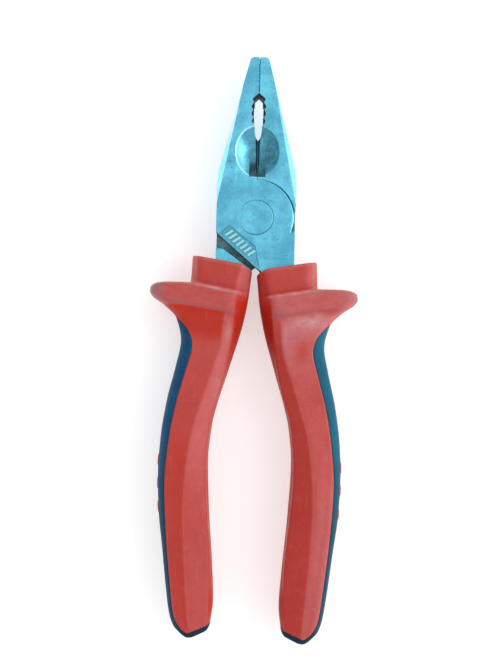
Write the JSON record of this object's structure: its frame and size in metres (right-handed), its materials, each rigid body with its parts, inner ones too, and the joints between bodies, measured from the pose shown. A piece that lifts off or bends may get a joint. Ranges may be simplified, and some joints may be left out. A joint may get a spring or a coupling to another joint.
{
  "type": "lineman pliers",
  "caption": "Combination pliers with serrated nose, pipe grip and side cutter, lap-jointed on a flush rivet, with two-colour moulded grips and thumb guards.",
  "frame": {"origin": "on the pivot's axis, at the back face of the head", "axes": "+Y towards the jaw tips, +Z along the pivot out of the front face, +X across the head to the right"},
  "size_m": [0.0714, 0.1991, 0.0224],
  "materials": {
    "forged_steel": "ground and nickel plated, satin",
    "rivet_steel": "ground flush with the head",
    "grip_red": "moulded, worn satin",
    "cover_blue": "soft moulded, matte"
  },
  "bodies": {
    "rear_half": {"lower_lever": "forged_steel", "pivot_rivet": "rivet_steel", "left_grip_core": "grip_red", "left_grip_cover": "cover_blue"},
    "front_half": {"upper_lever": "forged_steel", "right_grip_core": "grip_red", "right_grip_cover": "cover_blue"}
  },
  "joints": [
    {"name": "jaw_pivot", "type": "hinge", "parent": "rear_half", "child": "front_half", "pos_m": [0, 0, 0.0055], "axis": [0, 0, 1], "range_deg": [0, 30]}
  ]
}
